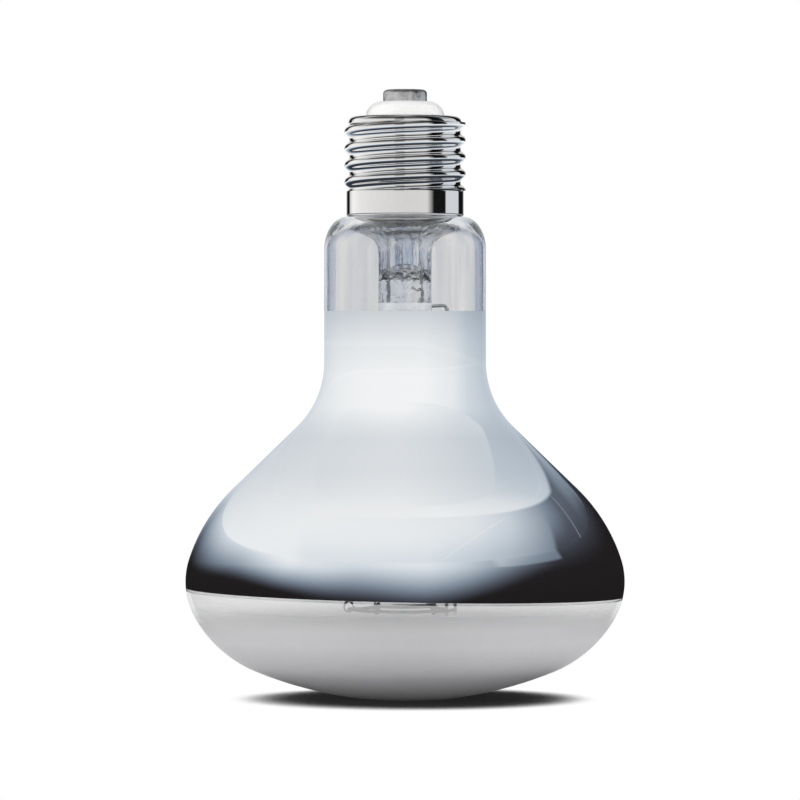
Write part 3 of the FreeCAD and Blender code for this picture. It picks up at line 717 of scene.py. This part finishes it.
def step_brightness(tree, angle):
    """Brightness where the tent's roof meets its narrow upper wall."""
    return round_ramp(tree, angle, (
        (-180, 0.60), (-140, 0.74), (-80, 0.88), (-45, 0.90), (0, 0.88), (30, 0.82), (50, 0.68), (63, 0.48),
        (76, 0.30), (90, 0.14), (105, 0.14), (125, 0.35), (145, 0.66), (180, 0.60)))


def roof_brightness(tree, at):
    """The tent's shoulder: light at the left, falling off outwards at the right, with two light lines."""
    angle, x, y, reach = at["Azimuth"], at["X"], at["Y"], at["Reach"]
    outwards = eased(tree, reach, (step_radius, 0.0), (tent_radius, 1.0))
    far = round_ramp(tree, angle, (
        (-180, 0.50), (-150, 0.68), (-100, 0.86), (-52, 0.84), (-44, 0.76), (10, 0.73), (45, 0.50), (62, 0.34),
        (73, 0.24), (76, 0.06), (125, 0.06), (150, 0.35), (180, 0.50)))
    spiral = total(tree, angle, product(tree, reach, -0.14))
    chord = total(tree, x, product(tree, y, -0.36))
    front_end = eased(tree, y, (-39, 1.0), (-35, 0.0))
    lines = total(tree, light_line(tree, spiral, 85.5, 0.5, 0.22),
                  product(tree, light_line(tree, chord, 54.2, 0.35, 0.10), front_end))
    return total(tree, blend(tree, outwards, step_brightness(tree, angle), far), lines)


def collar_brightness(tree, at):
    """The tent's narrow upper wall, mirrored by the neck, with a faint rail that sinks to the right."""
    angle, height = at["Azimuth"], at["Height"]
    upper = round_ramp(tree, angle, (
        (-180, 0.62), (-140, 0.72), (-90, 0.86), (-45, 0.91), (20, 0.92), (60, 0.82), (85, 0.68), (120, 0.58),
        (180, 0.62)))
    rail_height = total(tree, height, eased(tree, angle, (0, 0.0), (134, 4.5)))
    rail = light_line(tree, rail_height, 77.5, 0.8, 0.025)
    upwards = eased(tree, height, (step_top, 0.0), (step_top + 3, 1.0))
    return total(tree, blend(tree, upwards, step_brightness(tree, angle), upper), rail)


def lid_brightness(tree, at):
    """The tent's lid from below, a little darker towards the right and the back."""
    return product(tree, eased(tree, at["X"], (-10, 1.0), (50, 0.88)), eased(tree, at["Y"], (-50, 0.92), (0, 0.84)))


def top_brightness(tree, at):
    """The lid from above, as the screw cap sees it: dark close by, lighter outwards."""
    return eased(tree, at["Reach"], (28, 0.03), (60, 0.66))


def studio_tent():
    """A light tent with a shoulder and a lid, through which the cap stands out."""
    lid = skirt_bottom - cap_gap
    card("tent_wall", [(tent_radius, tent_foot), (tent_radius, step_height)], wall_brightness)
    card("tent_roof", [(tent_radius, step_height), (step_radius, step_top)], roof_brightness)
    card("tent_collar", [(step_radius, step_top), (step_radius, lid)], collar_brightness)
    card("tent_lid", [(lid_hole, lid - lid_sheet), (step_radius, lid - lid_sheet)], lid_brightness)
    card("tent_top", [(lid_hole, lid), (tent_radius, lid)], top_brightness)


def floor():
    """White ground with a painted soft dark contact shadow from ambient occlusion, shifted towards the back and the
    right.
    """
    mesh = bpy.data.meshes.new("floor")
    corners = [(-floor_half, -floor_half, 0), (floor_half, -floor_half, 0), (floor_half, floor_half, 0),
               (-floor_half, floor_half, 0)]
    mesh.from_pydata(corners, [], [(0, 1, 2, 3)])
    ground = place_in_scene("floor", mesh)
    material, tree, shader = new_material("floor")
    feed(tree, shader.inputs["Base Color"], (0.25, 0.25, 0.25))
    feed(tree, shader.inputs["Roughness"], 0.9)
    # painted shadow: ambient occlusion, leaning right and back, sets the colour that camera, glass and reflections
    # see on the floor
    shade = add_node(tree, "ShaderNodeAmbientOcclusion", (("Distance", contact_shade_reach),), samples=12)
    at = place_in(tree)
    lean = total(tree, shade.outputs["AO"], product(tree, at["X"], painted_shadow_lean_right),
                 product(tree, at["Y"], painted_shadow_lean_back))
    close_by = math_node(tree, "LESS_THAN", shade.outputs["AO"], open_floor)
    colour = colour_ramp(tree, blend(tree, close_by, 1.0, lean), (
        (0.0, (0.015, 0.015, 0.015)), (0.30, (0.03, 0.03, 0.03)), (0.46, (0.5, 0.5, 0.5)), (0.60, WHITE)))
    glow = add_node(tree, "ShaderNodeEmission", (("Color", colour),))
    path = add_node(tree, "ShaderNodeLightPath")
    seen = math_node(tree, "MAXIMUM", path.outputs["Is Camera Ray"], path.outputs["Is Transmission Ray"])
    seen = math_node(tree, "MAXIMUM", seen, path.outputs["Is Glossy Ray"])
    show(tree, mixed_shader(tree, seen, shader.outputs["BSDF"], glow.outputs["Emission"]))
    ground.data.materials.append(material)


def world():
    """White for the camera, grey at the sides through glass, cards round the cap in reflections."""
    sky = bpy.data.worlds.new("studio")
    bpy.context.scene.world = sky
    sky.use_nodes = True
    tree = sky.node_tree
    split = split_place(tree, "Generated")
    y, z = split.outputs["Y"], split.outputs["Z"]
    angle = azimuth(tree, split)
    dark, edge, light, cool = (0.006,) * 3, (0.6,) * 3, (0.72,) * 3, (0.66, 0.69, 0.72)
    cards = colour_ramp(tree, round_place(tree, angle), [(stop / 360 + 0.5, colour) for stop, colour in (
        (-180, light), (-166, edge), (-158, dark), (-142, dark), (-138, (0.66, 0.65, 0.63)),
        (-124, (0.98, 0.96, 0.94)), (-96, (0.84, 0.83, 0.81)), (-50, (0.76, 0.75, 0.73)),
        (0, (0.70, 0.69, 0.67)), (44, (0.72, 0.71, 0.70)), (58, dark), (86, dark), (88, cool), (129, cool),
        (131, dark), (158, dark), (166, edge), (180, light))])
    behind = product(tree, eased(tree, z, (0.55, 0.0), (0.75, 0.6)), eased(tree, y, (0.1, 0.0), (0.4, 1.0)))
    level = total(tree, eased(tree, z, (0.35, 1.0), (0.72, 0.1)), eased(tree, z, (0.9, 0.0), (1.0, 0.25)), behind)
    tripod = product(tree, eased(tree, angle, (-24, 0.0), (-20, 1.0)), eased(tree, angle, (-4, 1.0), (0, 0.0)),
                     eased(tree, math_node(tree, "ABSOLUTE", z), (0.06, 0.0), (0.14, 0.45)))
    level = product(tree, level, math_node(tree, "SUBTRACT", 1.0, tripod))
    studio = add_node(tree, "ShaderNodeBackground", (("Color", cards), ("Strength", level)))
    soft = tree.nodes["Background"]
    feed(tree, soft.inputs["Color"], WHITE)
    feed(tree, soft.inputs["Strength"], sky_light)
    side_bands = colour_ramp(tree, math_node(tree, "ABSOLUTE", split.outputs["X"]), (
        (0.12, WHITE), (0.22, (0.62, 0.66, 0.74)), (0.30, WHITE), (0.40, WHITE), (0.46, (0.10, 0.14, 0.24)),
        (0.62, (0.10, 0.14, 0.24)), (0.70, (0.75, 0.78, 0.84))))
    path = add_node(tree, "ShaderNodeLightPath")
    through = path.outputs["Is Transmission Ray"]
    behind_all = add_node(tree, "ShaderNodeBackground", (
        ("Color", mixed_colour(tree, through, WHITE, side_bands)), ("Strength", 1.0)))
    seen = math_node(tree, "MAXIMUM", path.outputs["Is Camera Ray"], through)
    lighting = mixed_shader(tree, path.outputs["Is Glossy Ray"], soft.outputs["Background"],
                            studio.outputs["Background"])
    tree.links.new(mixed_shader(tree, seen, lighting, behind_all.outputs["Background"]),
                   tree.nodes["World Output"].inputs["Surface"])


def lamp(name, stand, target, size, power):
    """A round soft lamp that reflections and glass don't show."""
    light = bpy.data.lights.new(name, "AREA")
    light.shape = "DISK"
    light.size = size
    light.energy = power
    lit = place_in_scene(name, light)
    lit.location = stand
    lit.rotation_euler = (Vector(target) - Vector(stand)).to_track_quat("-Z", "Y").to_euler()
    lit.visible_glossy = False
    lit.visible_transmission = False


def camera():
    """Long lens a little above half the bulb's height, looking slightly down."""
    data = bpy.data.cameras.new("camera")
    data.lens = lens
    data.sensor_width = sensor_width
    data.clip_end = farthest_seen
    view = place_in_scene("camera", data)
    view.location = eye
    view.rotation_euler = (aim - eye).to_track_quat("-Z", "Y").to_euler()
    bpy.context.scene.camera = view


surface_grain = surface_grain_group()
place_in_frame = place_in_frame_group()
studio_tone = studio_tone_group()
bulb_glass()
screw_shell()
insulator()
contact()
dress_cad_nodes()
studio_tent()
floor()
world()
for settings in lamps:
    lamp(*settings)
camera()
bpy.context.scene.view_settings.view_transform = "Standard"
